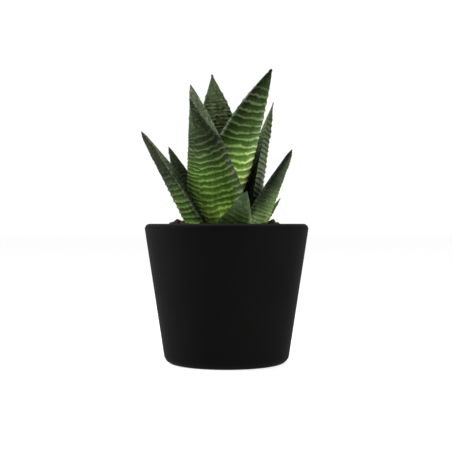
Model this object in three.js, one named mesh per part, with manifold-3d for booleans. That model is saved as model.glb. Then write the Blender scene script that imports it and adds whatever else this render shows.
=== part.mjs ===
// A potted haworthia: a rosette of thick, ridged leaves on a short stem, standing in bark soil in a
// matt black tapered pot. Millimetres, +Z up; the origin is the middle of the pot's foot, the plant's
// front faces -Y.
import * as THREE from 'three';
import { mergeVertices } from 'three/addons/utils/BufferGeometryUtils.js';
import Module from 'manifold-3d';

// ---- Driving dimensions ------------------------------------------------------------------------------
const GAP = 0.35; // clearance between pieces that touch on the real plant

const POT_HEIGHT = 68.2;
const POT_RIM_RADIUS = 40.5; // outer wall line at the rim, before it is rounded
const POT_FOOT_RADIUS = 30.1; // outer wall line at the ground, before it is rounded
const POT_WALL = 3.6;
const POT_FLOOR = 5;
const POT_RIM_ROUND = 2.5;
const POT_LIP_ROUND = 0.9; // on the rim's inner edge
const POT_FOOT_ROUND = 4.7;
const POT_INSIDE_ROUND = 3; // where the inner wall meets the floor
const POT_RECESS_RADIUS = 21; // shallow recess under the foot, inside the ring it stands on
const POT_RECESS_DEPTH = 0.9;
const POT_SIDES = 40;

const SOIL_EDGE_LEVEL = 64.6; // at the pot's wall
const SOIL_MIDDLE_LEVEL = 66.4; // round the plant
const SOIL_SIDES = 28;
const SOIL_FLOOR_ROUND = 3.7; // clears the pot's inside round
const MOUND_RINGS = [0.7, 0.35]; // shares of the mound's radius
const CHIP_COUNT = 42; // scattered over the mound
const CHIP_SEED = 5;
const CHIPS_START = 10; // distance from the stem's axis
const CHIP_LENGTH = [5, 9]; // shortest and longest
const CHIP_WIDTH = [4, 6];
const CHIP_THICKNESS = [2, 3.6];
const CHIP_RISE = [0.2, 1.3]; // of a chip's middle over the mound
const CHIP_BROKEN = [0.6, 1]; // share of its length and width that each corner of a chip reaches
const CHIP_WORN = [0.8, 1]; // the same for its thickness
const CHIP_TILT = [-0.35, 0.35]; // radians about its length
const CHIP_PITCH = [-0.45, 0.45]; // radians about its width
const HEAPED_CHIPS = [ // x, y, z of the chips that are pushed up against the plant, over the rim's level
  [-26.5, -3, 67.8], [-22.5, -5, 68.5], [-24, 3, 68], [21.5, -1, 68.6], [24, 4, 67.6], [18.5, -8, 67.4],
];

const STEM_BOTTOM = 36;
const STEM_TOP = 62;
const STEM_RADIUS = 5.5;
const ROOTSTOCK_RADIUS = 2.5; // at the stem's lower end
const ROOTSTOCK_TOP = 53;
const STEM_SHOULDER = 2.5; // height and width of the sloped edge at the stem's top
const STEM_SHOULDER_ROUND = 1.5;
const STEM_SIDES = 14;

const RIDGE_PITCH = 3.5; // from one pale ridge of a leaf to the next
const RIDGE_HEIGHT = 0.4;
const RIDGES_START = 67; // height of the first ridge: the leaves are smooth where they clasp
const SOFT_TIP = 0.08; // share of a leaf's length at its tip where the ridges die out
const RIDGES_FADE = 0.25; // share of the length over which they grow lower towards the tip

// One row for each leaf, from the young heart of the rosette outwards to the oldest.
// tip: x, y, z. foot: distance from the stem's axis, direction, height. faces: the direction that the
// keeled outer face looks in. bow: how far the middle stands off the straight line, outwards and sideways.
// wide: share of the length where the leaf is widest. full and blunt shape the taper from there to the tip.
// keel, where it is off the middle: its place from -1 to 1 across the leaf low down and at the tip, and the
// share of the length where it starts to cross over.
const LEAVES = [
  { name: 'leaf_01', tip: [-6, 4, 103], foot: [1, 100, 60], faces: 100, bow: [0, 0],
    width: 11, thick: 3.2, wide: 0.3, full: 1.5, blunt: 0.9, base: 0.75, sides: 12 },
  { name: 'leaf_02', tip: [21.6, -14, 142.7], foot: [7.5, 190, 59.5], faces: 313, bow: [-6.4, 1.8],
    width: 29.3, thick: 6.6, wide: 0.35, full: 2, blunt: 0.93, base: 0.65, keel: [-0.1, 0.6, 0.5], sides: 16 },
  { name: 'leaf_03', tip: [-7.5, 22, 145], foot: [4.5, 70, 59.5], faces: 94, bow: [1.8, -0.3],
    width: 29.5, thick: 4.5, wide: 0.35, full: 1.7, blunt: 1.05, base: 0.6, sides: 16 },
  { name: 'leaf_04', tip: [-16.9, -24, 133.8], foot: [8.5, 252, 58], faces: 252, bow: [2.2, 2],
    width: 28.6, thick: 6, wide: 0.3, full: 1.1, blunt: 0.88, base: 0.42, keel: [0.7, -0.95, 0.62], sides: 16 },
  { name: 'leaf_05', tip: [23.9, 20, 130.9], foot: [10.2, 42, 58.5], faces: 22, bow: [-1.5, -0.6],
    width: 23.6, thick: 9, wide: 0.26, full: 1, blunt: 1.1, base: 0.8, sides: 12 },
  { name: 'leaf_06', tip: [9, 34, 112], foot: [8, 78, 58.5], faces: 78, bow: [1, 0],
    width: 17, thick: 4.5, wide: 0.35, full: 1.5, blunt: 0.9, base: 0.75, sides: 12 },
  { name: 'leaf_07', tip: [-19, 29, 116], foot: [8.5, 128, 58.5], faces: 128, bow: [1.5, 0],
    width: 18, thick: 4.5, wide: 0.35, full: 1.5, blunt: 0.9, base: 0.75, sides: 12 },
  { name: 'leaf_08', tip: [-29.2, 12, 107], foot: [8, 155, 58], faces: 148, bow: [0.5, 0],
    width: 21, thick: 4.5, wide: 0.35, full: 1.5, blunt: 0.9, base: 0.75, sides: 12 },
  { name: 'leaf_09', tip: [-41.2, -9.2, 112.8], foot: [6.1, 208, 57], faces: 173, bow: [-1.5, 3.6],
    width: 19.4, thick: 10, wide: 0.35, full: 1.35, blunt: 0.84, base: 0.47, sides: 12 },
  { name: 'leaf_10', tip: [32.3, 0, 105.2], foot: [8, 350, 57], faces: 349, bow: [-0.5, 0.4],
    width: 19.6, thick: 8.6, wide: 0.35, full: 1.25, blunt: 0.9, base: 0.75, sides: 12 },
  { name: 'leaf_11', tip: [9.5, -28, 83.5], foot: [10, 268, 57], faces: 285, bow: [2, 0],
    width: 18, thick: 4.5, wide: 0.3, full: 1.2, blunt: 0.95, base: 0.75, keel: [0.7, 0.4, 0.4], sides: 12 },
  { name: 'leaf_12', tip: [0, 37, 91], foot: [11, 90, 57], faces: 90, bow: [1, 0],
    width: 17, thick: 4.5, wide: 0.35, full: 1.5, blunt: 0.9, base: 0.75, sides: 12 },
  { name: 'leaf_13', tip: [27, 10, 81], foot: [10, 15, 57], faces: 20, bow: [-0.3, 0],
    width: 5, thick: 3, wide: 0.3, full: 1.5, blunt: 0.9, base: 0.75, sides: 12 },
];

// ---- Solids: three.js shapes them, manifold-3d joins and cuts them -----------------------------------
const wasm = await Module();
wasm.setup();

/** A closed geometry as a solid. */
function solidOf(geometry) {
  geometry.deleteAttribute('normal');
  geometry.deleteAttribute('uv');
  const merged = mergeVertices(geometry, 1e-4);
  return new wasm.Manifold(new wasm.Mesh({
    numProp: 3,
    vertProperties: new Float32Array(merged.attributes.position.array),
    triVerts: new Uint32Array(merged.index.array),
  }));
}

/** A solid's largest body as a geometry. Scraps that a cut leaves loose are dropped. */
function geometryOf(solid) {
  const bodies = solid.decompose().sort((a, b) => b.volume() - a.volume());
  const mesh = bodies[0].getMesh();
  const geometry = new THREE.BufferGeometry();
  geometry.setAttribute('position', new THREE.BufferAttribute(mesh.vertProperties, 3));
  geometry.setIndex(new THREE.BufferAttribute(mesh.triVerts, 1));
  return geometry;
}

/** A profile of [radius, height, rounding, steps] corners turned round the Z axis. */
function turned(corners, sides) {
  const points = [];
  corners.forEach(([r, z, rounding = 0, steps = 1], i) => {
    const here = new THREE.Vector2(r, z);
    if (!rounding) {
      points.push(here);
      return;
    }
    const before = new THREE.Vector2(...corners[i - 1]).sub(here).normalize();
    const after = new THREE.Vector2(...corners[i + 1]).sub(here).normalize();
    const half = Math.acos(before.dot(after)) / 2;
    const middle = before.clone().add(after).normalize().multiplyScalar(rounding / Math.sin(half)).add(here);
    const from = before.multiplyScalar(rounding / Math.tan(half)).add(here).sub(middle);
    const to = after.multiplyScalar(rounding / Math.tan(half)).add(here).sub(middle);
    const sweep = Math.atan2(from.cross(to), from.dot(to));
    for (let k = 0; k <= steps; k++) {
      points.push(from.clone().rotateAround(new THREE.Vector2(), (sweep * k) / steps).add(middle));
    }
  });
  return new THREE.LatheGeometry(points, sides).rotateX(Math.PI / 2);
}

/** Seeded random numbers from 0 to 1. */
function randomFrom(seed) {
  let state = seed;
  return () => {
    state = (state * 1664525 + 1013904223) % 4294967296;
    return state / 4294967296;
  };
}

// ---- Pot: one thrown shell, closed at the foot -------------------------------------------------------
const wallRadius = (z) => POT_FOOT_RADIUS + ((POT_RIM_RADIUS - POT_FOOT_RADIUS) * z) / POT_HEIGHT;
const insideRadius = (z) => wallRadius(z) - POT_WALL;

function potSolid() {
  return solidOf(turned([
    [0, POT_RECESS_DEPTH],
    [POT_RECESS_RADIUS, POT_RECESS_DEPTH],
    [POT_RECESS_RADIUS + POT_RECESS_DEPTH, 0],
    [POT_FOOT_RADIUS, 0, POT_FOOT_ROUND, 5],
    [POT_RIM_RADIUS, POT_HEIGHT, POT_RIM_ROUND, 4],
    [insideRadius(POT_HEIGHT), POT_HEIGHT, POT_LIP_ROUND, 2],
    [insideRadius(POT_FLOOR), POT_FLOOR, POT_INSIDE_ROUND, 2],
    [0, POT_FLOOR],
  ], POT_SIDES));
}

// ---- Stem: the short stem that the leaves clasp, with its rootstock in the soil ----------------------
function stemSolid(grow = 0) {
  return solidOf(turned([
    [0, STEM_BOTTOM - grow],
    [ROOTSTOCK_RADIUS + grow, STEM_BOTTOM - grow],
    [STEM_RADIUS + grow, ROOTSTOCK_TOP],
    [STEM_RADIUS + grow, STEM_TOP - STEM_SHOULDER + grow, STEM_SHOULDER_ROUND, 2],
    [STEM_RADIUS - STEM_SHOULDER, STEM_TOP + grow],
    [0, STEM_TOP + grow],
  ], STEM_SIDES));
}

// ---- Leaves: a pointed outline, a keeled outer face, a hollowed inner face, ridges across ------------
const degrees = THREE.MathUtils.degToRad;
const polar = (radius, angle, z) => (
  new THREE.Vector3(radius * Math.cos(degrees(angle)), radius * Math.sin(degrees(angle)), z)
);

/** The leaf's spine at share s of its length: its place, and the directions across it and outwards. */
function spineOf(leaf, s) {
  const foot = polar(...leaf.foot);
  const chord = new THREE.Vector3(...leaf.tip).sub(foot);
  const outward = polar(1, leaf.faces, 0);
  const sideways = polar(1, leaf.faces + 90, 0);
  const bow = outward.clone().multiplyScalar(leaf.bow[0]).addScaledVector(sideways, leaf.bow[1]);
  const place = foot.addScaledVector(chord, s).addScaledVector(bow, 4 * s * (1 - s));
  const tangent = chord.clone().addScaledVector(bow, 4 - 8 * s).normalize();
  outward.addScaledVector(tangent, -outward.dot(tangent)).normalize();
  const across = tangent.clone().cross(outward);
  return { place, across, outward, length: chord.length() };
}

/** Half the leaf's width at share s. */
function halfWidthOf(leaf, s) {
  const toTip = Math.min(1, (1 - s) / (1 - leaf.wide));
  const toFoot = Math.max(0, (leaf.wide - s) / leaf.wide);
  const taper = (1 - (1 - toTip) ** leaf.full) ** leaf.blunt;
  return (leaf.width / 2) * (s > leaf.wide ? taper : 1 - (1 - leaf.base) * toFoot ** 2);
}

const MARGIN = 0.6; // half the thickness of a leaf's edge
const MARGIN_AT_TIP = 0.4; // most of it near the tip, as a share of the half width
const KEEL = 0.35; // share of the outer face's height that is a straight-sided keel
const HOLLOW = 0.1; // depth of the inner face's hollow, as a share of the half width
const INWARD = 0.35; // how far the section sits inside the spine, as a share of its depth
const THINNING = 0.75; // share of the length over which a leaf thins towards its tip
const THINNING_CURVE = 0.7; // under 1, it thins most near the tip
const STOUTEST = 1.3; // most depth near the tip, as a share of the half width

/** How far a place across the leaf, from -1 to 1, is off the keel: -1 and 1 are still the leaf's edges. */
function offKeel(leaf, s, across) {
  const [low, high, start] = leaf.keel ?? [0, 0, 0];
  const keel = low + (high - low) * THREE.MathUtils.smoothstep(s, start, 1);
  return (across - keel) / (across < keel ? 1 + keel : 1 - keel);
}

/** A point of the leaf's skin: turn goes round the section, 0 and 180 degrees are the leaf's edges. */
function skinPoint(leaf, s, turn, lift) {
  const { place, across, outward } = spineOf(leaf, s);
  const half = halfWidthOf(leaf, s);
  const depth = Math.min(leaf.thick * Math.min(1, (1 - s) / THINNING) ** THINNING_CURVE, half * STOUTEST);
  const c = Math.cos(turn);
  const edge = Math.min(MARGIN, half * MARGIN_AT_TIP) * Math.abs(Math.sin(turn));
  const off = offKeel(leaf, s, c);
  const arch = (1 - KEEL) * (1 - off * off) + KEEL * (1 - Math.abs(off));
  const outer = Math.sin(turn) >= 0;
  const height = outer ? edge + depth * arch : HOLLOW * half * (1 - c * c) - edge;
  const slope = new THREE.Vector2(c / Math.max(half, 0.1), Math.sin(turn) / Math.max(depth, 0.1)).normalize();
  return place.clone()
    .addScaledVector(across, half * c + lift * slope.x)
    .addScaledVector(outward, height - INWARD * depth + lift * slope.y);
}

const SPACE_RINGS = [0, 0.1, 0.2, 0.3, 0.42, 0.55, 0.7, 0.85, 0.97];
const FOOT_POINT = 0.6; // how far a leaf's blunt foot ends past its lowest ring

/** The rings that a leaf is built of, as [share of length, lift]: crests and furrows past the foot. */
function ringsOf(leaf, grow) {
  const { length } = spineOf(leaf, 0.5);
  const first = (RIDGES_START - leaf.foot[2]) / (leaf.tip[2] - leaf.foot[2]);
  if (grow) {
    return SPACE_RINGS.map((s) => [s, grow]);
  }
  const rings = [[0, 0], [first * 0.5, 0]];
  const ridges = Math.floor(((1 - SOFT_TIP - first) * length) / RIDGE_PITCH);
  for (let i = 0; i < ridges; i++) {
    const s = first + ((i + 0.5) * RIDGE_PITCH) / length;
    rings.push([s - (RIDGE_PITCH * 0.5) / length, 0], [s, RIDGE_HEIGHT * Math.min(1, (1 - s) / RIDGES_FADE)]);
  }
  rings.push([1 - SOFT_TIP, 0], [1 - SOFT_TIP / 2, 0]);
  return rings;
}

/** A leaf as a closed solid. Grown, it is the smooth space that its neighbours leave free. */
function leafSolid(leaf, grow = 0) {
  const rings = ringsOf(leaf, grow);
  const sides = leaf.sides;
  const points = [];
  for (const [s, lift] of rings) {
    for (let k = 0; k < sides; k++) {
      points.push(skinPoint(leaf, s, (2 * Math.PI * k) / sides, lift));
    }
  }
  const { place: foot } = spineOf(leaf, 0);
  const tip = new THREE.Vector3(...leaf.tip);
  const axis = tip.clone().sub(foot).normalize();
  points.push(foot.addScaledVector(axis, -FOOT_POINT - grow), tip.addScaledVector(axis, grow));
  const faces = [];
  const last = rings.length - 1;
  for (let k = 0; k < sides; k++) {
    const next = (k + 1) % sides;
    faces.push(rings.length * sides, k, next);
    faces.push(rings.length * sides + 1, last * sides + next, last * sides + k);
    for (let i = 0; i < last; i++) {
      const a = i * sides + k;
      const b = i * sides + next;
      faces.push(a, a + sides, b, b, a + sides, b + sides);
    }
  }
  const geometry = new THREE.BufferGeometry().setFromPoints(points);
  geometry.setIndex(faces);
  return solidOf(geometry);
}

// Each leaf clasps the younger ones inside it: it gives way to them and to the stem.
const stemSpace = stemSolid(GAP);
const leafSpaces = LEAVES.map((leaf) => leafSolid(leaf, GAP + RIDGE_HEIGHT));
const leafBodies = LEAVES.map((leaf, i) => (
  leafSpaces.slice(0, i).reduce((body, space) => body.subtract(space), leafSolid(leaf).subtract(stemSpace))
));

// ---- Soil: a low mound that fills the pot, with bark chips lying in its surface ----------------------
const between = ([least, most], share) => least + (most - least) * share;

/** One bark chip: a flat, broken, six-sided lump with no two faces square to each other. */
function chipSolid(random, place) {
  const chip = new THREE.BoxGeometry(1, 1, 1);
  chip.deleteAttribute('normal');
  chip.deleteAttribute('uv');
  const lump = mergeVertices(chip, 1e-4);
  const corner = new THREE.Vector3();
  for (let i = 0; i < lump.attributes.position.count; i++) {
    corner.fromBufferAttribute(lump.attributes.position, i);
    const reach = [CHIP_BROKEN, CHIP_BROKEN, CHIP_WORN].map((range) => between(range, random()));
    corner.multiply(new THREE.Vector3(...reach));
    lump.attributes.position.setXYZ(i, corner.x, corner.y, corner.z);
  }
  lump.scale(...[CHIP_LENGTH, CHIP_WIDTH, CHIP_THICKNESS].map((range) => between(range, random())));
  lump.rotateX(between(CHIP_TILT, random()));
  lump.rotateY(between(CHIP_PITCH, random()));
  lump.rotateZ(Math.PI * random());
  lump.translate(place.x, place.y, place.z);
  return solidOf(lump);
}

/** A random place in the mound's surface, clear of the pot's wall. */
function chipPlace(random) {
  const reach = insideRadius(SOIL_EDGE_LEVEL) - CHIP_LENGTH[1] / 2 - 1;
  const radius = Math.sqrt(between([CHIPS_START ** 2, reach ** 2], random()));
  return polar(radius, 360 * random(), soilLevel(radius) + between(CHIP_RISE, random()));
}

/** The mound's height at a distance from the pot's axis. */
function soilLevel(radius) {
  const share = Math.min(1, radius / insideRadius(SOIL_EDGE_LEVEL));
  return SOIL_MIDDLE_LEVEL - (SOIL_MIDDLE_LEVEL - SOIL_EDGE_LEVEL) * share ** 2;
}

function soilBody() {
  const bottom = POT_FLOOR + GAP;
  const edge = insideRadius(SOIL_EDGE_LEVEL) - GAP;
  const floorEdge = insideRadius(bottom) - GAP;
  let soil = solidOf(turned([
    [0, bottom],
    [floorEdge, bottom, SOIL_FLOOR_ROUND, 3],
    [edge, SOIL_EDGE_LEVEL],
    ...MOUND_RINGS.map((share) => [edge * share, soilLevel(edge * share)]),
    [0, SOIL_MIDDLE_LEVEL],
  ], SOIL_SIDES));
  const random = randomFrom(CHIP_SEED);
  for (let i = 0; i < CHIP_COUNT; i++) {
    soil = soil.add(chipSolid(random, chipPlace(random)));
  }
  for (const place of HEAPED_CHIPS) {
    soil = soil.add(chipSolid(random, new THREE.Vector3(...place)));
  }
  return leafSpaces.reduce((body, space) => body.subtract(space), soil.subtract(stemSpace));
}

// ---- The plant in its pot ----------------------------------------------------------------------------
const FINISH = {
  ceramic: { color: 0x1b1b1b, roughness: 0.55, metalness: 0 },
  bark: { color: 0x4a3322, roughness: 0.95, metalness: 0 },
  stem: { color: 0xb9b48a, roughness: 0.7, metalness: 0 },
  leaf: { color: 0x5b7a45, roughness: 0.5, metalness: 0 },
};

const plant = new THREE.Group();

function addPart(name, solid, finish) {
  const mesh = new THREE.Mesh(geometryOf(solid), new THREE.MeshStandardMaterial(FINISH[finish]));
  mesh.name = name;
  plant.add(mesh);
}

addPart('pot', potSolid(), 'ceramic');
addPart('soil', soilBody(), 'bark');
addPart('stem', stemSolid(), 'stem');
leafBodies.forEach((body, i) => addPart(LEAVES[i].name, body, 'leaf'));

export default plant;
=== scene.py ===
import math

import bpy
import numpy as np
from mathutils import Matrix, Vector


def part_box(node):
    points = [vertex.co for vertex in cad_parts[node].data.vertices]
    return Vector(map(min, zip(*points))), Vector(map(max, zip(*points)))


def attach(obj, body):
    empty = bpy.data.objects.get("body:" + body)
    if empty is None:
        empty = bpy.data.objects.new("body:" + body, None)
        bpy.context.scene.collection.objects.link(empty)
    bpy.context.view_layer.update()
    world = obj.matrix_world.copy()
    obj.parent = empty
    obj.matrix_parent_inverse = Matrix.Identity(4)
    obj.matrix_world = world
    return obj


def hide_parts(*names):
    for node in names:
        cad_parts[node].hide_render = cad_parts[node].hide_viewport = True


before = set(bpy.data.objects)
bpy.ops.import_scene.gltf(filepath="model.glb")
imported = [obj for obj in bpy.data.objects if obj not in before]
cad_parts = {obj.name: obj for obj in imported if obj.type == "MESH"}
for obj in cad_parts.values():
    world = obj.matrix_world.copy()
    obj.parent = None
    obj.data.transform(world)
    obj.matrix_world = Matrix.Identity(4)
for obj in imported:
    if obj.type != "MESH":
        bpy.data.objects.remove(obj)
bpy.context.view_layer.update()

MM = 0.001

# ---- The pot -----------------------------------------------------------------------------------------
# One thrown ceramic shell with a tapered wall, a rounded rim and a rounded foot that stands on a ring.
# It is dipped in a matt black glaze. The glaze is greyer along the rim: a painted highlight, where the
# rounding catches the light from above.


def rounded_profile(corners):
    """Each corner is (radius, height, rounding, steps). A corner with a rounding becomes the arc that touches
    both of its sides: its middle lies on the corner's bisector at rounding / sin(half the corner's angle)."""
    points = []
    for i, (r, z, rounding, steps) in enumerate(corners):
        here = np.array([r, z])
        if not rounding:
            points.append(here[None])
            continue
        before, after = (np.array(corners[j][:2]) - here for j in (i - 1, i + 1))
        before, after = before / np.linalg.norm(before), after / np.linalg.norm(after)
        half = math.acos(before @ after) / 2
        middle = here + (before + after) / np.linalg.norm(before + after) * rounding / math.sin(half)
        cut_off = rounding / math.tan(half)
        start, stop = here + before * cut_off - middle, here + after * cut_off - middle
        sweep = math.atan2(start[0] * stop[1] - start[1] * stop[0], start @ stop)
        angle = sweep * np.linspace(0, 1, steps + 1)
        arc = np.stack([start[0] * np.cos(angle) - start[1] * np.sin(angle),
                        start[0] * np.sin(angle) + start[1] * np.cos(angle)], 1)
        points.append(middle + arc)
    return np.concatenate(points)


def grid_mesh(name, points, **attributes):
    """points is (rows, columns, 3): the columns go round and close on themselves, and the rows go from one
    end to the other. Each end is closed by a fan to the middle of its ring. An attribute is one number per
    point, or what broadcasts to that."""
    rows, columns = points.shape[:2]
    ends = np.stack([points[0].mean(0), points[-1].mean(0)])
    near = np.arange(rows * columns).reshape(rows, columns)
    far = np.roll(near, -1, 1)
    quads = np.stack([near[:-1], near[1:], far[1:], far[:-1]], -1).reshape(-1, 4)
    first = np.stack([near[0], far[0], np.full(columns, rows * columns)], -1)
    last = np.stack([far[-1], near[-1], np.full(columns, rows * columns + 1)], -1)
    mesh = bpy.data.meshes.new(name)
    mesh.from_pydata(np.concatenate([points.reshape(-1, 3), ends]).tolist(), [],
                     quads.tolist() + first.tolist() + last.tolist())
    for title, values in attributes.items():
        values = np.broadcast_to(values, (rows, columns))
        values = np.concatenate([values.reshape(-1), [values[0].mean(), values[-1].mean()]])
        mesh.attributes.new(title, "FLOAT", "POINT").data.foreach_set("value", values.astype("f"))
    mesh.shade_smooth()
    piece = bpy.data.objects.new(name, mesh)
    bpy.context.scene.collection.objects.link(piece)
    return piece


def new_material(name):
    """A material with one Principled shader; returns the material, its nodes, its links and the shader."""
    material = bpy.data.materials.new(name)
    material.use_nodes = True
    nodes = material.node_tree.nodes
    return material, nodes, material.node_tree.links, nodes["Principled BSDF"]


def noise_at(nodes, links, scale, detail, source=None):
    """A noise texture with scale features per metre, on the piece's own coordinates or on a source socket;
    returns its number socket."""
    place = source or nodes.new("ShaderNodeTexCoord").outputs["Object"]
    texture = nodes.new("ShaderNodeTexNoise")
    texture.inputs["Scale"].default_value = scale
    texture.inputs["Detail"].default_value = detail
    texture.inputs["Roughness"].default_value = 0.55
    links.new(place, texture.inputs["Vector"])
    return texture.outputs["Fac"]


def ramp_of(nodes, links, source, *stops):
    """A colour ramp over a number. Each stop is (place, colour), lowest first, and a colour is scene-linear
    (red, green, blue), or one number for a grey."""
    ramp = nodes.new("ShaderNodeValToRGB")
    elements = ramp.color_ramp.elements
    elements.remove(elements[1])
    for i, (place, colour) in enumerate(stops):
        element = elements.new(place) if i else elements[0]
        element.position = place
        element.color = (*colour, 1) if isinstance(colour, tuple) else (colour, colour, colour, 1)
    links.new(source, ramp.inputs["Fac"])
    return ramp.outputs["Color"]


def bump_to(nodes, links, shader, height, distance, strength=1.0):
    """Bump from a height number, distance in metres."""
    bump = nodes.new("ShaderNodeBump")
    bump.inputs["Distance"].default_value = distance
    bump.inputs["Strength"].default_value = strength
    links.new(height, bump.inputs["Height"])
    links.new(bump.outputs["Normal"], shader.inputs["Normal"])


def mix_of(nodes, links, amount, first, second, mode="MIX"):
    """first and second mixed by amount, a socket or a number. A colour is a socket or three numbers."""
    mix = nodes.new("ShaderNodeMix")
    mix.data_type = "RGBA"
    mix.blend_type = mode
    for title, value in (("Factor", amount), ("A", first), ("B", second)):
        socket = mix.inputs[title]
        if isinstance(value, bpy.types.NodeSocket):
            links.new(value, socket)
        else:
            socket.default_value = value if isinstance(value, (int, float)) else (*value, 1)
    return mix.outputs["Result"]


(_, _, pot_foot), (_, _, pot_rim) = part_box("pot")
rim_line, foot_line = 40.5 * MM, 30.1 * MM
pot_wall, pot_floor = 3.6 * MM, 5 * MM


def wall_line(z):
    """The outer wall's radius before its ends are rounded: a straight taper from foot to rim."""
    return foot_line + (rim_line - foot_line) * z / pot_rim


pot_profile = rounded_profile([
    (0.2 * MM, 0.9 * MM, 0, 0),
    (21 * MM, 0.9 * MM, 0.6 * MM, 4),
    (21.9 * MM, pot_foot, 0.3 * MM, 4),
    (foot_line, pot_foot, 4.7 * MM, 16),
    (rim_line, pot_rim, 2.5 * MM, 16),
    (wall_line(pot_rim) - pot_wall, pot_rim, 0.9 * MM, 10),
    (wall_line(pot_floor) - pot_wall, pot_floor, 3 * MM, 6),
    (0.2 * MM, pot_floor, 0, 0),
])
pot_turn = np.linspace(0, 2 * np.pi, 160, endpoint=False)
pot_points = np.stack([
    pot_profile[:, :1] * np.cos(pot_turn), pot_profile[:, :1] * np.sin(pot_turn),
    np.broadcast_to(pot_profile[:, 1:], (len(pot_profile), len(pot_turn)))], -1)
pot = grid_mesh("pot_shell", pot_points[:, ::-1])

black_glaze, nodes, links, shader = new_material("matt_black_glaze")
glaze_speckle, rim_highlight_grey = (0.009, 0.0088, 0.0084), (0.042, 0.042, 0.041)
edge_depth = 1.7 * MM
glaze = ramp_of(nodes, links, noise_at(nodes, links, 38, 3), (0.3, (0.0036, 0.0036, 0.0036)),
                (0.75, (0.0046, 0.0045, 0.0043)))
speckle = ramp_of(nodes, links, noise_at(nodes, links, 900, 3), (0.62, 0), (0.8, 0.5))
glaze = mix_of(nodes, links, speckle, glaze, glaze_speckle)
# Painted highlight: the glaze turns grey over the top of the rim, where its rounding catches light.
height = nodes.new("ShaderNodeSeparateXYZ")
links.new(nodes.new("ShaderNodeTexCoord").outputs["Object"], height.inputs["Vector"])
near_rim = nodes.new("ShaderNodeMapRange")
near_rim.inputs["From Min"].default_value = pot_rim - edge_depth
near_rim.inputs["From Max"].default_value = pot_rim
links.new(height.outputs["Z"], near_rim.inputs["Value"])
painted_rim_highlight = ramp_of(nodes, links, near_rim.outputs["Result"], (0, 0), (0.5, 0.18), (1, 1))
links.new(mix_of(nodes, links, painted_rim_highlight, glaze, rim_highlight_grey), shader.inputs["Base Color"])
shader.inputs["Roughness"].default_value = 0.65
shader.inputs["Specular IOR Level"].default_value = 0.03
bump_to(nodes, links, shader, noise_at(nodes, links, 1400, 2), 0.05 * MM, 0.35)
pot.data.materials.append(black_glaze)
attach(pot, "root")
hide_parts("pot")

# ---- The soil ----------------------------------------------------------------------------------------
# Bark potting mix: a low, crumbly mound that fills the pot to just under its rim, dark and a little damp.
# The plant's leaves come straight out of it.
soil_random = np.random.default_rng(7)


def value_noise(x, y, cells, random):
    """Smooth noise from -1 to 1: a table of random numbers, one per whole x and y, read with soft steps
    between them. It repeats after the number of cells."""
    table = random.uniform(-1, 1, (cells, cells))
    column, row = np.floor(x).astype(int), np.floor(y).astype(int)
    u, v = x - column, y - row
    u, v = u * u * (3 - 2 * u), v * v * (3 - 2 * v)
    a, b, c, d = (table[(row + j) % cells, (column + i) % cells] for j in (0, 1) for i in (0, 1))
    return (a * (1 - u) + b * u) * (1 - v) + (c * (1 - u) + d * u) * v


soil_edge_level, soil_middle_level = 64.6 * MM, 66.4 * MM
soil_edge = wall_line(soil_edge_level) - pot_wall - 0.35 * MM


def mound_level(radius):
    """The mound's height: highest round the plant and falling off with the square of the radius."""
    return soil_middle_level - (soil_middle_level - soil_edge_level) * np.minimum(1, radius / soil_edge) ** 2


skirt_radii = soil_edge - 0.5 * MM, soil_edge - 4 * MM
skirt_levels = soil_edge_level - 1.5 * MM, soil_edge_level - 6 * MM
soil_rings = np.concatenate([np.linspace(0.2 * MM, soil_edge, 150), skirt_radii])
soil_turn = np.linspace(0, 2 * np.pi, 420, endpoint=False)
soil_x, soil_y = soil_rings[:, None] * np.cos(soil_turn), soil_rings[:, None] * np.sin(soil_turn)
crumb_sizes = ((4.2 * MM, 0.55 * MM), (1.9 * MM, 0.4 * MM), (0.85 * MM, 0.28 * MM), (0.4 * MM, 0.14 * MM))
crumb_cells = 97
crumbs = sum(value_noise(soil_x / size, soil_y / size, crumb_cells, soil_random) * height
             for size, height in crumb_sizes)
soil_height = mound_level(soil_rings)[:, None] + crumbs
soil_height[-2:] = np.array(skirt_levels)[:, None]
soil = grid_mesh("soil_bed", np.stack([soil_x, soil_y, soil_height], -1)[::-1])

soil_mix, nodes, links, shader = new_material("bark_mix")
damp_crumb = (0.008, 0.006, 0.004)
grains = noise_at(nodes, links, 1300, 5)
earth = ramp_of(nodes, links, noise_at(nodes, links, 240, 3), (0.3, (0.012, 0.008, 0.005)),
                (0.55, (0.04, 0.022, 0.012)), (0.8, (0.085, 0.048, 0.026)))
dry = ramp_of(nodes, links, grains, (0.35, 0), (0.75, 1))
links.new(mix_of(nodes, links, dry, damp_crumb, earth), shader.inputs["Base Color"])
shader.inputs["Roughness"].default_value = 0.9
bump_to(nodes, links, shader, grains, 0.5 * MM)
soil.data.materials.append(soil_mix)
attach(soil, "root")
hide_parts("soil")

# Loose bark chips lie on the mound: flat, broken flakes of brown and red-brown bark with worn corners. A few
# are heaped against the outer leaves on the left and on the right, where they stand just above the rim.
chip_sides = 8
chip_turn = np.linspace(0, 2 * np.pi, chip_sides, endpoint=False)
flake_rings = ((0.35, -0.5), (0.9, -0.42), (1, 0), (0.85, 0.42), (0.3, 0.5))
flake = np.concatenate([np.stack([np.cos(chip_turn) * r, np.sin(chip_turn) * r, np.full(chip_sides, z)], 1)
                        for r, z in flake_rings])
ring_of = np.arange(len(flake)).reshape(len(flake_rings), chip_sides)
next_of = np.roll(ring_of, -1, 1)
flake_faces = np.stack([ring_of[:-1], next_of[:-1], next_of[1:], ring_of[1:]], -1).reshape(-1, 4)


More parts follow.
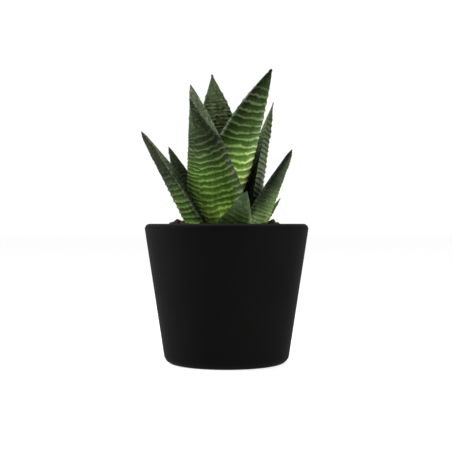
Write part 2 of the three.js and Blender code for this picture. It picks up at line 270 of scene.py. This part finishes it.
def chip_mesh(name, places, sizes, random):
    """One mesh of many flakes. Each is a flat eight-sided pebble with jittered corners, as long, wide and
    thick as its size, tipped by up to 25 degrees and turned about the vertical by any angle. It carries one
    tone number."""
    count = len(places)
    jitter, most_tip = 0.22, 0.44
    jittered = flake * (1 + random.uniform(-jitter, jitter, (count, *flake.shape)))
    corners = jittered * sizes[:, None] / (2, 2, 1)
    turn = random.uniform(0, 2 * np.pi, count)
    tip_x, tip_y = random.uniform(-most_tip, most_tip, (2, count))

    def turned(points, angle, a, b):
        """Points turned in the plane of axes a and b, each flake by its own angle."""
        cosine, sine = np.cos(angle)[:, None], np.sin(angle)[:, None]
        moved = points.copy()
        moved[..., a] = points[..., a] * cosine - points[..., b] * sine
        moved[..., b] = points[..., a] * sine + points[..., b] * cosine
        return moved

    corners = turned(turned(turned(corners, tip_x, 1, 2), tip_y, 0, 2), turn, 0, 1) + places[:, None]
    start_of = np.arange(count)[:, None, None] * len(flake)
    sides = (flake_faces[None] + start_of).reshape(-1, 4).tolist()
    lids = (np.stack([ring_of[0][::-1], ring_of[-1]])[None] + start_of).reshape(-1, chip_sides).tolist()
    mesh = bpy.data.meshes.new(name)
    mesh.from_pydata(corners.reshape(-1, 3).tolist(), [], sides + lids)
    tones = np.repeat(random.uniform(0, 1, count), len(flake))
    mesh.attributes.new("tone", "FLOAT", "POINT").data.foreach_set("value", tones.astype("f"))
    chips = bpy.data.objects.new(name, mesh)
    bpy.context.scene.collection.objects.link(chips)
    return chips


chip_count = 150
chip_reach = np.sqrt(soil_random.uniform(0.08, 0.93, chip_count)) * soil_edge
chip_way = soil_random.uniform(0, 2 * np.pi, chip_count)
chip_spans = (3, 7), (2, 4.5), (0.9, 2)
chip_sizes = np.stack([soil_random.uniform(*span, chip_count) * MM for span in chip_spans], 1)
chip_places = np.stack([chip_reach * np.cos(chip_way), chip_reach * np.sin(chip_way),
                        mound_level(chip_reach) + chip_sizes[:, 2] * 0.2], 1)
heaped = np.array([(-26.5, -3, 67.8), (-22.5, -5, 68.5), (-24, 3, 68), (-25, -1, 68.9), (-20.5, -7, 68.8),
                   (21.5, -1, 68.6), (24, 4, 67.6), (18.5, -8, 67.4), (22.5, -3, 69), (25, 0, 67.6)]) * MM
heaped_sizes = np.array([(5.5, 3.5, 1.8), (6, 4, 2), (5, 3, 1.6), (4, 2.6, 1.6), (4.5, 3, 1.8),
                         (6, 4, 2), (5, 3.4, 1.8), (5.5, 3.5, 2), (4, 2.8, 1.7), (4.2, 3, 1.6)]) * MM
chips = chip_mesh("bark_chips", np.concatenate([chip_places, heaped]),
                  np.concatenate([chip_sizes, heaped_sizes]), soil_random)

bark, nodes, links, shader = new_material("bark_chip")
dark_fibre = (0.012, 0.008, 0.005)
tone_number = nodes.new("ShaderNodeAttribute")
tone_number.attribute_name = "tone"
bark_tone = ramp_of(nodes, links, tone_number.outputs["Fac"], (0, (0.01, 0.006, 0.003)),
                    (0.4, (0.04, 0.018, 0.007)), (0.75, (0.13, 0.042, 0.012)), (1, (0.17, 0.11, 0.035)))
fibres = noise_at(nodes, links, 900, 4)
links.new(mix_of(nodes, links, ramp_of(nodes, links, fibres, (0.35, 0.7), (0.7, 0)), bark_tone, dark_fibre),
          shader.inputs["Base Color"])
shader.inputs["Roughness"].default_value = 0.85
bump_to(nodes, links, shader, fibres, 0.4 * MM)
chips.data.materials.append(bark)
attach(chips, "root")
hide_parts("soil")

# ---- The stem ----------------------------------------------------------------------------------------
# The short fleshy stem that the leaves clasp. Only its top can be seen, from straight above between the
# leaves.
stem_skin, nodes, links, shader = new_material("pale_stem")
fibres = noise_at(nodes, links, 420, 4)
links.new(ramp_of(nodes, links, fibres, (0.3, (0.22, 0.2, 0.09)), (0.7, (0.36, 0.33, 0.17))),
          shader.inputs["Base Color"])
shader.inputs["Roughness"].default_value = 0.6
bump_to(nodes, links, shader, fibres, 0.3 * MM)
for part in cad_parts["stem"].material_slots:
    part.material = stem_skin
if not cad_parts["stem"].material_slots:
    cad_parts["stem"].data.materials.append(stem_skin)

# ---- The leaves --------------------------------------------------------------------------------------
# Thick, pointed, water-filled leaves with a keeled outer face and a slightly hollow inner face. Pale raised
# ridges run across the outer face in wavy, broken rows, and the inner face carries shorter rows of bumps.
#
# The first numbers of a leaf are those of its solid, in millimetres and degrees: tip (x, y, z), foot
# (distance from the stem's axis, direction, height), the direction that the outer face looks in, bow
# (outwards, sideways), width and thickness. wide, full, blunt and base shape its outline: where it is
# widest, how it tapers to the tip, and how wide its foot is. keel is the keel's place across the leaf low
# down and at the tip, and where it starts to cross over.
# The others are its skin. The first edge is the left one for someone who looks at the outer face:
#   pitch      from one ridge to the next
#   dip        the line across which the ridges hang lowest, given as keel is; None is the keel itself
#   sag        how steeply a ridge climbs from there to either edge low down; high_sag, high up. At 1 it ends
#              about 0.7 ridges higher, and less where that side is narrower than half the leaf
#   wave       how far the ridges waver, in ridges
#   lane       how far off the dip a strip with a ridge pitch of its own starts, and that pitch
#   plain      the distances from the tip at which the ridges start and are full
#   crisp, cut how pale the ridges are, and how dark the furrows between them
#   tone       the green between the ridges in tenths of reflectance: at the foot, low, high and at the tip;
#              its very bright feet are painted light, standing in for light that reaches down between leaves
#   sides      what tone is times near either edge low down; high_sides, high up; foot_sides, at the foot.
#              Painted light and shade: an edge that faces a soft box is lightened, one in another leaf's
#              shade is darkened
#   edge       what tone is times right at the other edge: painted shade there
#   grey       how grey the green is at the first edge, the keel and the other edge; high_grey, high up
#   inner      the inner face's tone at the foot, midway and at the tip; its darkness low down is partly the
#              face's own darker green and partly painted shade from the leaves in front of it
#   cap        a plain, greyer tip: where it starts at the first edge, how much lower at the other, tone, grey;
#              its lighter tone is painted light on the upper facet that faces the right-hand soft box
#   rim        how pale the two edges are, partly pale teeth and partly painted highlight; keel_highlight, a
#              painted highlight along the keel low down
#   stub       the radius of the rounded point
common = dict(wide=0.35, full=1.5, blunt=0.9, base=0.75, keel=(0, 0, 0.5),
              pitch=2.6, dip=None, sag=(0.5, 0.5), high_sag=(0.5, 0.5), wave=0.13, lane=None, plain=(4, 12),
              crisp=0.8, cut=0.8, tone=(2, 1.2, 0.6, 0.6), foot_sides=(1, 1), sides=(1, 1), high_sides=(1, 1),
              edge=1, grey=(0.2, 0.1, 0.2), high_grey=(0.7, 0.6, 0.7), inner=(0.3, 0.4, 0.9), cap=None,
              rim=(0.4, 0.4), keel_highlight=0, stub=0.3)
leaves = {
    "leaf_01": dict(tip=(-6, 4, 103), foot=(1, 100, 60), faces=100, bow=(0, 0), width=11, thick=3.2, wide=0.3,
                    high_grey=(0.2, 0.2, 0.2)),
    "leaf_02": dict(tip=(21.5, -14, 142.2), foot=(7.5, 190, 59.5), faces=313, bow=(-6.4, 1.8), width=29.3,
                    thick=6.6, wide=0.35, full=2, blunt=0.93, base=0.65, keel=(-0.1, 0.6, 0.5),
                    pitch=3.65, sag=(-0.8, 1.2), high_sag=(0, 0.2), wave=0.07, plain=(4, 13), crisp=0.9,
                    tone=(14, 4.1, 1.0, 0.4), foot_sides=(0.6, 4), sides=(0.26, 2.4), high_sides=(0.3, 1.7),
                    grey=(0, 0.05, 0.35), high_grey=(0.1, 0.1, 0.45), rim=(1.2, 0.8), stub=1),
    "leaf_03": dict(tip=(-7.5, 22, 144.7), foot=(4.5, 70, 59.5), faces=94, bow=(1.8, -0.3), width=29.5,
                    thick=4.5, full=1.7, blunt=1.05, base=0.6,
                    pitch=3.5, inner=(0.1, 0.35, 1.65), stub=0.6),
    "leaf_04": dict(tip=(-16.9, -24, 133.4), foot=(8.5, 252, 58), faces=252, bow=(2.2, 2), width=28.6,
                    thick=6, wide=0.3, full=1.1, blunt=0.88, base=0.42, keel=(0.7, -0.95, 0.62),
                    pitch=2.95, dip=(-0.3, -0.95, 0.5), sag=(2.6, 1), high_sag=(1.6, 1.2), wave=0.16,
                    lane=(-0.2, 2), plain=(14, 34), crisp=0.75,
                    tone=(14, 1.35, 0.25, 0.6), foot_sides=(0.08, 0.2), sides=(2.3, 0.9),
                    high_sides=(2.6, 1.1), grey=(0.1, 0, 0.6), high_grey=(0.65, 0.45, 1),
                    cap=(0.93, 0.27, 1.7, 0.75), rim=(0.5, 0.15)),
    "leaf_05": dict(tip=(23.9, 20, 130.2), foot=(10.2, 42, 58.5), faces=22, bow=(-1.5, -0.6), width=23.6,
                    thick=9, wide=0.26, full=1, blunt=1.1, base=0.8,
                    pitch=2.7, sag=(0.3, 0.3), high_sag=(0.3, 0.3), crisp=0.2, cut=2,
                    tone=(7, 4.6, 1.9, 0.85), foot_sides=(0.1, 0.3), grey=(1, 1, 1), high_grey=(0.8, 1, 1),
                    inner=(0.2, 0.1, 2.6), rim=(0, 0)),
    "leaf_06": dict(tip=(9, 34, 112), foot=(8, 78, 58.5), faces=78, bow=(1, 0), width=17, thick=4.5,
                    pitch=3.0),
    "leaf_07": dict(tip=(-19, 29, 116), foot=(8.5, 128, 58.5), faces=128, bow=(1.5, 0), width=18, thick=4.5,
                    pitch=3.1),
    "leaf_08": dict(tip=(-29.2, 12, 107), foot=(8, 155, 58), faces=148, bow=(0.5, 0), width=21, thick=4.5,
                    inner=(0.15, 1.1, 1.3)),
    "leaf_09": dict(tip=(-41.2, -9.2, 112.8), foot=(6.1, 208, 57), faces=173, bow=(-1.5, 3.6), width=19.4,
                    thick=10, full=1.35, blunt=0.84, base=0.47,
                    pitch=2.9, sag=(0.5, -1.2), high_sag=(0.5, -0.9), plain=(14, 32), crisp=0.5, cut=1.2,
                    tone=(20, 1.65, 0.32, 0.6), foot_sides=(1, 0.5), edge=0.35,
                    grey=(0.25, 0.1, 0.2), high_grey=(0.9, 0.9, 0.9), inner=(0.05, 0.5, 2.8), keel_highlight=0.4),
    "leaf_10": dict(tip=(32.2, 0, 104.8), foot=(8, 350, 57), faces=349, bow=(-0.5, 0.4), width=19.6,
                    thick=8.6, full=1.25,
                    pitch=1.9, sag=(-1.5, 0.5), high_sag=(-1, 0.5), wave=0.25, plain=(8, 30), crisp=0.3,
                    cut=0.1, tone=(5.5, 5.2, 1.3, 1.4), foot_sides=(0.15, 1.2), sides=(0.12, 1.5),
                    high_sides=(0.08, 1), grey=(0.6, 0.3, 0.3), high_grey=(0.8, 0.5, 0.6),
                    inner=(0.3, 0.4, 0.5), rim=(0.15, 0.15), keel_highlight=0.6),
    "leaf_11": dict(tip=(9.5, -28, 83.5), foot=(10, 268, 57), faces=285, bow=(2, 0), width=18, thick=4.5,
                    wide=0.3, full=1.2, blunt=0.95, keel=(0.7, 0.4, 0.4),
                    pitch=2.4, plain=(4, 20), crisp=0.35, tone=(3, 2.2, 1.6, 1.2), sides=(0.6, 2.4),
                    grey=(0.15, 0.1, 0.6), high_grey=(0.5, 0.4, 0.7), rim=(0.3, 0.8)),
    "leaf_12": dict(tip=(0, 37, 91), foot=(11, 90, 57), faces=90, bow=(1, 0), width=17, thick=4.5),
    "leaf_13": dict(tip=(27, 10, 81), foot=(10, 15, 57), faces=20, bow=(-0.3, 0), width=5, thick=3, wide=0.3,
                    pitch=1.8, tone=(1.7, 1.7, 1.5, 1.2), grey=(0.9, 0.9, 0.9)),
}


def unit(vectors):
    """Vectors scaled to length 1."""
    return vectors / np.linalg.norm(vectors, axis=-1, keepdims=True)


def soft_step(start, stop, value):
    """0 below start, 1 above stop, and an S-curve between them."""
    t = np.clip((value - start) / (stop - start), 0, 1)
    return t * t * (3 - 2 * t)


def soft_line(middle, width, value):
    """A bell curve: 1 at middle, and almost 0 twice the width from it."""
    return np.exp(-((value - middle) / width) ** 2)


def rounded_abs(value, rounding):
    """The absolute value with its corner rounded off, as sqrt(value^2 + rounding) - sqrt(rounding)."""
    return np.sqrt(value * value + rounding) - math.sqrt(rounding)


def leaf_spine(leaf, s):
    """Places on a leaf's spine, the directions across and outwards there, and the leaf's length. The spine
    is the straight line from foot to tip plus bow * 4s(1 - s), where s goes from 0 to 1 along it. Outwards is
    the way that the leaf faces, made square to the spine."""
    def polar(radius, angle, z):
        return np.array([radius * math.cos(math.radians(angle)), radius * math.sin(math.radians(angle)), z])

    foot, tip = polar(*leaf["foot"]), np.array(leaf["tip"], float)
    outward, sideways = polar(1, leaf["faces"], 0), polar(1, leaf["faces"] + 90, 0)
    bow = outward * leaf["bow"][0] + sideways * leaf["bow"][1]
    places = foot + (tip - foot) * s + bow * 4 * s * (1 - s)
    tangent = unit(tip - foot + bow * (4 - 8 * s))
    out = unit(outward - (tangent @ outward)[:, None] * tangent)
    return places, np.cross(tangent, out), out, np.linalg.norm(tip - foot)


def half_width(leaf, s, from_tip):
    """Half a leaf's width. Past the widest place it is the widest half width times
    (1 - (1 - q) ** full) ** blunt, where q is the share of that stretch left to the tip. Below it the leaf
    narrows to base with the square of the distance. The very tip is the top of a circle of radius stub."""
    to_tip = np.minimum(1, (1 - s) / (1 - leaf["wide"]))
    to_foot = np.maximum(0, (leaf["wide"] - s) / leaf["wide"])
    share = np.where(s > leaf["wide"], (1 - (1 - to_tip) ** leaf["full"]) ** leaf["blunt"],
                     1 - (1 - leaf["base"]) * to_foot ** 2)
    rounded_point = leaf["stub"] * np.sqrt(1 - (1 - np.minimum(1, from_tip / leaf["stub"])) ** 2)
    return np.maximum(leaf["width"] / 2 * share, rounded_point)


def line_along(s, low, high, start):
    """Where a line along the leaf lies across it: at low, and past start on its way to high at the tip."""
    return low + (high - low) * soft_step(start, 1, s)


def off_line(x, line):
    """How far places across the leaf are off a line along it: -1 and 1 are still the leaf's edges."""
    return np.where(x < line, (x - line) / (1 + line), (x - line) / (1 - line))


noise_cells = 61
high_up = 0.45, 0.75  # the shares of a leaf's length between which its low values give way to the high ones


def outer_ridges(leaf, s, x, off, side, from_tip, random):
    """How much of a pale ridge, and of the dark furrow below it, each point of the outer face is. Ridges are
    soft pulses of a phase that grows by 1 every pitch from the tip to the foot. The phase climbs from the dip
    to either edge, jumps a little at the dip, drifts and wavers with the noise. Each ridge has small teeth,
    its own strength and breadth, and gaps."""
    dip = line_along(s, *(leaf["dip"] or leaf["keel"]))
    hollow = off_line(x, dip)
    reach = np.minimum(1, np.where(hollow < 0, 1 + dip, 1 - dip))
    high = soft_step(*high_up, s)
    climb = [low * (1 - high) + above * high for low, above in zip(leaf["sag"], leaf["high_sag"])]
    sag = np.where(hollow < 0, *climb) * reach * rounded_abs(hollow, 0.1)
    low_down = soft_step(0.6, 0, s)

    def rows_every(pitch, jog_row):
        """The ridges and furrows of one pitch."""
        row = from_tip / pitch
        jog = value_noise(row * 0.9, row * 0 + jog_row, noise_cells, random) * 0.16 * np.tanh(hollow / 0.15)
        drift = value_noise(off * 1.6 + 9, row * 0.3, noise_cells, random) * 0.25
        wiggle = value_noise(off * 7 + 20, row * 1.1, noise_cells, random) * leaf["wave"]
        phase = row + sag + jog + drift + wiggle
        number = np.floor(phase) + 0.5
        teeth = value_noise(side / 0.8 + 15, number, noise_cells, random) * (0.07 + 0.08 * low_down)
        part = phase % 1 - 0.5 + teeth
        strength = (0.95 + 0.3 * value_noise(off * 2.5 + 30, number, noise_cells, random)
                    + 0.45 * value_noise(side / 1.1 + 35, number, noise_cells, random))
        unbroken = soft_step(-1, -0.8, value_noise(off * 4 + 40, number, noise_cells, random))
        uneven = 1 + 0.35 * value_noise(off * 4 + 45, number, noise_cells, random)
        ridge = soft_line(0, (0.15 + 0.13 * low_down) * uneven, part)
        # The furrow's darkness is painted shade below the ridge.
        return ridge * np.clip(strength, 0.15, 1.1) * unbroken, soft_line(0.32, 0.15, part) * unbroken

    ridge, furrow = rows_every(leaf["pitch"], 3)
    if leaf["lane"]:
        lane_edge, lane_pitch = leaf["lane"]
        lane_ridge, lane_furrow = rows_every(lane_pitch, 8)
        ragged = 0.15 * value_noise(off * 0, from_tip / 3, noise_cells, random)
        in_lane = soft_step(lane_edge + 0.12, lane_edge - 0.12, hollow + ragged)
        ridge = ridge * (1 - in_lane) + lane_ridge * in_lane
        furrow = furrow * (1 - in_lane) + lane_furrow * in_lane
    return ridge, furrow


def inner_bumps(side, from_tip, random):
    """How much of a bump, and of the dark dash below it, each point of the inner face is: rows of short
    blocks across the leaf."""
    row_pitch = 1.95
    row = from_tip / row_pitch + value_noise(side / 2.2 + 50, from_tip / 3, noise_cells, random) * 0.3
    number = np.floor(row) * 1.7
    blocks = soft_step(-0.3, 0.3, value_noise(side / 1.1 + 60, number, noise_cells, random))
    dashes = soft_step(-0.1, 0.25, value_noise(side / 1.2 + 80, number, noise_cells, random))
    return soft_line(0.3, 0.2, row % 1) * blocks, soft_line(0.75, 0.22, row % 1) * dashes * 2.6


def across_leaf(s, off, low_values, high_values):
    """Values at the first edge, the keel and the other edge, low down and high up, spread over the leaf."""
    high = soft_step(*high_up, s)
    first, keel, other = (low * (1 - high) + above * high for low, above in zip(low_values, high_values))
    toward_first, toward_other = soft_step(0, 1, -off), soft_step(0, 1, off)
    return first * toward_first + other * toward_other + keel * (1 - toward_first - toward_other)


def outer_tone(leaf, s, off):
    """The outer face's tone: its course from foot to tip, times what the edges have at the foot, low down
    and high up."""
    near_foot = soft_step(0.45, 0.2, s)
    # The edges' factors are painted light and shade.
    low_sides, high_sides = ((leaf[key][0], 1, leaf[key][1]) for key in ("sides", "high_sides"))
    at_first, at_other = soft_step(0.68, 0.95, -off), soft_step(0.8, 1, off)
    foot_sides = 1 + (leaf["foot_sides"][0] - 1) * at_first + (leaf["foot_sides"][1] - 1) * at_other
    # The bright feet of the tone are painted light.
    tone = np.interp(s, (0, 0.3, 0.65, 1), leaf["tone"])
    tone = tone * (across_leaf(s, off, low_sides, high_sides) * (1 - near_foot) + foot_sides * near_foot)
    return tone * (1 + (leaf["edge"] - 1) * soft_step(0.84, 0.96, off))


def leaf_surface(leaf, rows, columns, random):
    """Points of one leaf in millimetres, and the numbers that its skin has at each of them. Across, x goes
    from -1 to 1 between the leaf's edges. The outer face stands over the line between them by thick, which
    shrinks towards the tip, times 0.65 (1 - o^2) + 0.35 (1 - |o|), with o the distance off the keel and |o|
    rounded. The inner face is hollowed by a tenth of the half width times (1 - x^2). Ridges, bumps, warts and
    broad, low lumps are added along the section's own normal."""
    ridge_relief, bump_relief, lump_relief = 0.42, 0.2, 0.12
    s = np.linspace(0, 1 - 0.2 / rows, rows)[:, None]
    turn = np.linspace(0, 2 * np.pi, columns, endpoint=False)[None]
    x, is_outer = np.cos(turn), np.sin(turn) >= 0
    spine, across, out, length = leaf_spine(leaf, s)
    from_tip = (1 - s) * length
    half = half_width(leaf, s, from_tip)
    side = x * half
    depth = np.minimum(leaf["thick"] * np.minimum(1, (1 - s) / 0.75) ** 0.7, half * 1.3)
    edge = np.minimum(0.6, half * 0.4) * np.abs(np.sin(turn))
    off = off_line(x, line_along(s, *leaf["keel"]))
    arch = 0.65 * (1 - off * off) + 0.35 * (1 - rounded_abs(off, 0.01) / rounded_abs(1, 0.01))
    height = np.where(is_outer, edge + depth * arch, 0.1 * half * (1 - x * x) - edge)

    ridge, furrow = outer_ridges(leaf, s, x, off, side, from_tip, random)
    bump, dash = inner_bumps(side, from_tip, random)
    warts = soft_step(0.3, 0.75, value_noise(side / 0.7, from_tip / 0.75, noise_cells, random))
    warts = warts * soft_step(0.5, 3, from_tip)
    lumps = value_noise(x * 3 + 70, from_tip * 0.25, noise_cells, random) * lump_relief
    ridged = soft_step(*leaf["plain"], from_tip)
    out_of_soil = 0.25 + 0.75 * soft_step(4, 24, s * length)
    ridge = np.maximum(ridge * ridged * out_of_soil, warts * (1 - ridged) * 0.5)
    bump = np.maximum(bump * soft_step(6, 18, from_tip), warts * 0.4) * 0.8
    relief = np.where(is_outer, ridge * ridge_relief, bump * bump_relief) + lumps * soft_step(1, 10, from_tip)
    normal = np.stack([x / np.maximum(half, 0.1), np.sin(turn) / np.maximum(depth, 0.1)], -1)
    lift = relief[..., None] * unit(normal)
    points = (spine[:, None] + (side + lift[..., 0])[..., None] * across[:, None]
              + (height - 0.35 * depth + lift[..., 1])[..., None] * out[:, None])

    tone = outer_tone(leaf, s, off)
    # The inner face's dark foot is partly its own darker green and partly painted shade.
    inner_tone = np.interp(s, (0, 0.6, 0.9), leaf["inner"])
    greyness = across_leaf(s, off, leaf["grey"], leaf["high_grey"])
    # The cap's lighter tone is painted light, on the upper facet that faces the right-hand soft box.
    if leaf["cap"]:
        start, drop, cap_tone, cap_grey = leaf["cap"]
        cap = soft_step(-0.02, 0.02, s - start + drop * ((x + 1) / 2) ** 2.2)
        tone = tone * (1 - cap) + cap_tone * cap
        greyness = greyness * (1 - cap) + cap_grey * cap
        ridge, bump = (amount * (1 - cap) + warts * cap * 0.5 for amount in (ridge, bump))
        furrow = furrow * (1 - cap)
    stripes = 1 + 0.14 * value_noise(side / 0.4, from_tip / 7, noise_cells, random)
    beads = 0.7 + 0.9 * value_noise(x * 3 + 90, from_tip / 0.9, noise_cells, random)
    # Pale, toothed edges, partly painted highlight, and a painted highlight along the keel low down.
    rim = soft_line(1, 0.06, np.abs(x)) * np.where(x < 0, *leaf["rim"]) * np.clip(beads, 0.1, 1.4)
    keel_highlight = soft_line(0, 0.16, off) * leaf["keel_highlight"] * soft_step(0.6, 0, s) * np.clip(beads, 0.5, 1.4)
    return points, dict(
        along=s, side=side, down=from_tip, outer=is_outer * 1.0,
        ridge=np.where(is_outer, ridge * leaf["crisp"], bump * 0.6),
        groove=np.where(is_outer, leaf["cut"] * furrow * ridged * out_of_soil,
                        dash * soft_step(4, 26, from_tip)),
        grey=greyness, tone=np.where(is_outer, tone, inner_tone) * stripes, rim=rim + keel_highlight,
        point=soft_line(0, 0.45, from_tip))


leaf_skin, nodes, links, shader = new_material("ridged_leaf_skin")
inner_green = (0.076, 0.1, 0.051)
pale_rim, pale_speck, dry_point = (0.2, 0.25, 0.16), (0.25, 0.28, 0.16), (0.05, 0.045, 0.026)


def skin_number(name):
    """One of the numbers that the leaf's mesh carries at each point."""
    attribute = nodes.new("ShaderNodeAttribute")
    attribute.attribute_name = name
    return attribute.outputs["Fac"]


def scaled(number, factor):
    """A number socket times a factor."""
    product = nodes.new("ShaderNodeMath")
    product.operation = "MULTIPLY"
    product.inputs[1].default_value = factor
    links.new(number, product.inputs[0])
    return product.outputs["Value"]


def tinted(colour, tint):
    """A colour times a tint, either of them a socket or three numbers."""
    return mix_of(nodes, links, 1.0, colour, tint, "MULTIPLY")


def laid_over(ground, number, cover, *stops):
    """ground covered by cover, as much as the stops of a ramp over the number say."""
    return mix_of(nodes, links, ramp_of(nodes, links, number, *stops), ground, cover)


along, outer, tone = skin_number("along"), skin_number("outer"), skin_number("tone")
groove, ridge = skin_number("groove"), skin_number("ridge")
specks = noise_at(nodes, links, 1500, 3)

# The green: yellower low down where much light comes through, greyed where the skin is dull. It is as
# bright as the tone, whose bright feet and lit edges are painted light and whose dark edges painted shade.
green = tinted(ramp_of(nodes, links, along, (0.05, (0.044, 0.1, 0.019)), (0.35, (0.048, 0.1, 0.0135)),
                       (0.6, (0.05, 0.1, 0.019)), (0.95, (0.055, 0.1, 0.031))), tone)
green = tinted(green, ramp_of(nodes, links, scaled(tone, 0.1), (0.15, 1), (0.5, (1.3, 1, 1))))
lightness = nodes.new("ShaderNodeRGBToBW")
links.new(green, lightness.inputs["Color"])
dusky_green = tinted(lightness.outputs["Val"], (0.95, 1.13, 0.8))
green = mix_of(nodes, links, skin_number("grey"), green, dusky_green)
green = mix_of(nodes, links, outer, tinted(inner_green, tone), green)

# On it lie soft mottling, fine grain, the dark furrows, painted shade below the outer face's ridges, and
# the ridges in a paler tint of the green.
pale = mix_of(nodes, links, 1.0, tinted(green, (3, 2.6, 3)), (0.04, 0.039, 0.028), "ADD")
mottle_and_furrow_shade = tinted(green, (0.4, 0.47, 0.28))
ground = laid_over(green, noise_at(nodes, links, 210, 4), mottle_and_furrow_shade, (0.35, 0.6), (0.62, 0))
ground = laid_over(ground, noise_at(nodes, links, 900, 2), mottle_and_furrow_shade, (0.4, 0.45), (0.6, 0))
ground = laid_over(ground, groove, mottle_and_furrow_shade, (0, 0), (1, 0.95))
ground = laid_over(ground, scaled(groove, 0.5), tinted(ground, (0.2, 0.22, 0.15)), (0.5, 0), (1, 1))
skin = laid_over(ground, ridge, pale, (0.05, 0), (0.95, 1))

# Dark streaks run down the leaf, strongest near its foot. They are noise that is drawn out lengthwise.
streak_place = nodes.new("ShaderNodeCombineXYZ")
links.new(skin_number("side"), streak_place.inputs["X"])
links.new(scaled(skin_number("down"), 0.14), streak_place.inputs["Y"])
streak = noise_at(nodes, links, 0.85, 2, streak_place.outputs["Vector"])
streak = tinted(ramp_of(nodes, links, streak, (0.38, 0.75), (0.56, 0)),
                ramp_of(nodes, links, along, (0.12, 1), (0.55, 0.3)))
skin = mix_of(nodes, links, streak, skin, tinted(skin, (0.5, 0.58, 0.4)))

# The edges are pale and toothed, partly painted highlight, and a painted highlight runs along the keel
# low down. Tiny pale specks are strewn over all of it, and the very tip is dry.
skin = laid_over(skin, skin_number("rim"), pale_rim, (0, 0), (1, 0.9))
skin = laid_over(skin, specks, pale_speck, (0.6, 0), (0.8, 0.12))
skin = mix_of(nodes, links, skin_number("point"), skin, dry_point)
links.new(skin, shader.inputs["Base Color"])
shader.inputs["Roughness"].default_value = 0.55
shader.inputs["Specular IOR Level"].default_value = 0.02
shader.inputs["Sheen Weight"].default_value = 0.12
shader.inputs["Sheen Roughness"].default_value = 0.25
shader.inputs["Sheen Tint"].default_value = (0.85, 1, 0.8, 1)
bump_to(nodes, links, shader, specks, 0.06 * MM, 0.6)

leaf_random = np.random.default_rng(21)
large_leaf = 22
for name, leaf in leaves.items():
    leaf = common | leaf
    rows, columns = (420, 144) if leaf["width"] > large_leaf else (300, 96)
    points, numbers = leaf_surface(leaf, rows, columns, leaf_random)
    blade = grid_mesh(name + "_blade", points * MM, **numbers)
    blade.data.materials.append(leaf_skin)
    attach(blade, "root")
    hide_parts(name)

# ---- The floor, the light and the camera -------------------------------------------------------------
# A pale sweep of paper, soft light from both sides and above, and the camera level with the pot's rim.
paper = bpy.data.meshes.new("floor")
paper.from_pydata([(-6, -6, 0), (6, -6, 0), (6, 6, 0), (-6, 6, 0)], [], [(0, 1, 2, 3)])
floor = bpy.data.objects.new("floor", paper)
bpy.context.scene.collection.objects.link(floor)
pale_paper, nodes, links, shader = new_material("pale_paper")
shader.inputs["Base Color"].default_value = (0.9, 0.9, 0.9, 1)
shader.inputs["Roughness"].default_value = 1
shader.inputs["Specular IOR Level"].default_value = 0
shader.inputs["Emission Color"].default_value = (1, 1, 1, 1)
shader.inputs["Emission Strength"].default_value = 0.7
paper.materials.append(pale_paper)

room = bpy.data.worlds.new("studio")
bpy.context.scene.world = room
room.use_nodes = True
nodes, links = room.node_tree.nodes, room.node_tree.links
direction = nodes.new("ShaderNodeSeparateXYZ")
links.new(nodes.new("ShaderNodeTexCoord").outputs["Generated"], direction.inputs["Vector"])
depth_of_view = nodes.new("ShaderNodeMapRange")
depth_of_view.inputs["From Min"].default_value = -1
links.new(direction.outputs["Y"], depth_of_view.inputs["Value"])
walls = ramp_of(nodes, links, depth_of_view.outputs["Result"],
                (0.06, 0.1), (0.45, 0.4), (0.88, 0.55), (0.97, 1))
ceiling = ramp_of(nodes, links, direction.outputs["Z"], (0.35, 1), (0.9, 0.6))
links.new(mix_of(nodes, links, 1.0, walls, ceiling, "MULTIPLY"), nodes["Background"].inputs["Color"])
nodes["Background"].inputs["Strength"].default_value = 1.02


def soft_box(name, place, power):
    """A soft rectangular studio light at place, turned towards the plant."""
    light = bpy.data.lights.new(name, "AREA")
    light.shape = "RECTANGLE"
    light.size, light.size_y = 0.5, 0.8
    light.energy = power
    lamp = bpy.data.objects.new(name, light)
    bpy.context.scene.collection.objects.link(lamp)
    lamp.location = place
    plant_middle = (0, 0, 0.1)
    aim = np.subtract(plant_middle, place)
    lamp.rotation_euler = (math.acos(-aim[2] / np.linalg.norm(aim)), 0, math.atan2(aim[0], -aim[1]) + math.pi)


soft_box("left_box", (-0.72, 0.02, 0.3), 5.8)
soft_box("right_box", (0.7, -0.42, 0.3), 4.5)

camera = bpy.data.cameras.new("camera")
eye = bpy.data.objects.new("camera", camera)
bpy.context.scene.collection.objects.link(eye)
bpy.context.scene.camera = eye
eye_distance = 0.514
frame_px, focal_px = 452, 1046
axis_px, horizon_px = 226.6, 223.7
camera.lens = focal_px / frame_px * camera.sensor_width
camera.shift_x = (frame_px / 2 - axis_px) / frame_px
camera.shift_y = (horizon_px - frame_px / 2) / frame_px
camera.clip_start = 0.01
eye.location = (0, -eye_distance, pot_rim)
eye.rotation_euler = (math.pi / 2, 0, 0)
bpy.context.scene.view_settings.view_transform = "Standard"
